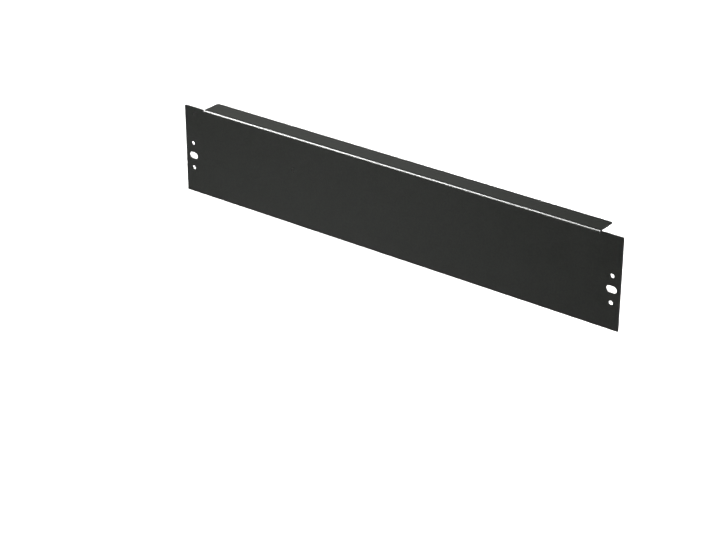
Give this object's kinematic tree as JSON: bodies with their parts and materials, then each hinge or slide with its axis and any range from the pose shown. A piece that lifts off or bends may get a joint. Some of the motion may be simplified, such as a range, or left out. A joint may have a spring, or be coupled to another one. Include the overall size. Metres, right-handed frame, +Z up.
{
  "type": "rack blanking panel",
  "caption": "Blanking panel for an equipment rack: a flat sheet face with a slotted hole in each ear, stiffened by a flange folded back along the top edge.",
  "frame": {"origin": "midway between the two rack slots, on the rear face that bears on the rack's rails", "axes": "+X along the panel, to the right as seen from the front; the front face looks to -Y; +Z up"},
  "size_m": [0.4826, 0.0215, 0.0881],
  "materials": {
    "powder_coat": "fine-textured black powder coat with a low sheen, on steel sheet"
  },
  "bodies": {
    "root": {"blanking_panel": "powder_coat"}
  },
  "joints": []
}
